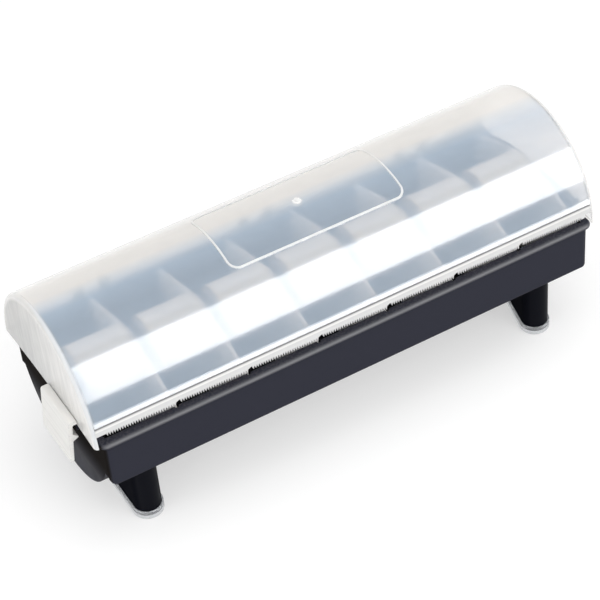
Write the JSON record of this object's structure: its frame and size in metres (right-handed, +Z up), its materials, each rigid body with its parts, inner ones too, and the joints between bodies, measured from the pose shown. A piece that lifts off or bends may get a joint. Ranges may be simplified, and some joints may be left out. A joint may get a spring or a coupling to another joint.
{
  "type": "label dispenser",
  "caption": "Counter-top label dispenser: dark half-round tray on legs, hinged frosted dome lid with toothed tear edge, end latches, and label rolls on divider hubs.",
  "frame": {"origin": "middle of the footprint on the counter, under the middle of the tray", "axes": "+X along the tray to the right as seen from the front, +Y to the rear hinge, +Z up"},
  "size_m": [0.2728, 0.0962, 0.1076],
  "materials": {
    "tray_plastic": "satin moulded, charcoal",
    "lid_plastic": "frosted translucent natural polypropylene, glossy outside",
    "strip_plastic": "translucent natural polypropylene",
    "divider_plastic": "pale translucent moulded",
    "pad_rubber": "translucent grey soft plastic",
    "label_paper": "matt white label paper wound on its liner",
    "core_card": "plain brown card tube"
  },
  "bodies": {
    "base": {"base_tray": "tray_plastic", "foot_pad_front_left": "pad_rubber", "foot_pad_front_right": "pad_rubber", "foot_pad_rear_left": "pad_rubber", "foot_pad_rear_right": "pad_rubber", "divider_1": "divider_plastic", "divider_2": "divider_plastic", "divider_3": "divider_plastic", "divider_4": "divider_plastic", "divider_5": "divider_plastic", "divider_6": "divider_plastic", "divider_7": "divider_plastic"},
    "lid": {"lid_shell": "lid_plastic", "tear_strip": "strip_plastic"},
    "latch_left": {"latch_left": "strip_plastic"},
    "latch_right": {"latch_right": "strip_plastic"},
    "roll_1": {"label_roll_1": "label_paper", "roll_core_1": "core_card"},
    "roll_2": {"label_roll_2": "label_paper", "roll_core_2": "core_card"},
    "roll_3": {"label_roll_3": "label_paper", "roll_core_3": "core_card"},
    "roll_4": {"label_roll_4": "label_paper", "roll_core_4": "core_card"},
    "roll_5": {"label_roll_5": "label_paper", "roll_core_5": "core_card"},
    "roll_6": {"label_roll_6": "label_paper", "roll_core_6": "core_card"},
    "roll_7": {"label_roll_7": "label_paper", "roll_core_7": "core_card"}
  },
  "joints": [
    {"name": "lid_hinge", "type": "hinge", "parent": "base", "child": "lid", "pos_m": [0, 0.0461, 0.068], "axis": [-1, 0, 0], "range_deg": [0, 110]},
    {"name": "latch_left_flex", "type": "hinge", "parent": "lid", "child": "latch_left", "pos_m": [-0.13035, -0.016, 0.067], "axis": [0, 1, 0], "range_deg": [0, 12], "stiffness_Nm_per_rad": 0.06},
    {"name": "latch_right_flex", "type": "hinge", "parent": "lid", "child": "latch_right", "pos_m": [0.13035, -0.016, 0.067], "axis": [0, -1, 0], "range_deg": [0, 12], "stiffness_Nm_per_rad": 0.06},
    {"name": "roll_1_spin", "type": "hinge", "parent": "base", "child": "roll_1", "pos_m": [-0.1038, 0, 0.0621], "axis": [1, 0, 0], "continuous": true},
    {"name": "roll_2_spin", "type": "hinge", "parent": "base", "child": "roll_2", "pos_m": [-0.0682, 0, 0.0621], "axis": [1, 0, 0], "continuous": true},
    {"name": "roll_3_spin", "type": "hinge", "parent": "base", "child": "roll_3", "pos_m": [-0.0326, 0, 0.0621], "axis": [1, 0, 0], "continuous": true},
    {"name": "roll_4_spin", "type": "hinge", "parent": "base", "child": "roll_4", "pos_m": [0.003, 0, 0.0621], "axis": [1, 0, 0], "continuous": true},
    {"name": "roll_5_spin", "type": "hinge", "parent": "base", "child": "roll_5", "pos_m": [0.0386, 0, 0.0621], "axis": [1, 0, 0], "continuous": true},
    {"name": "roll_6_spin", "type": "hinge", "parent": "base", "child": "roll_6", "pos_m": [0.0742, 0, 0.0621], "axis": [1, 0, 0], "continuous": true},
    {"name": "roll_7_spin", "type": "hinge", "parent": "base", "child": "roll_7", "pos_m": [0.10815, 0, 0.0621], "axis": [1, 0, 0], "continuous": true}
  ]
}
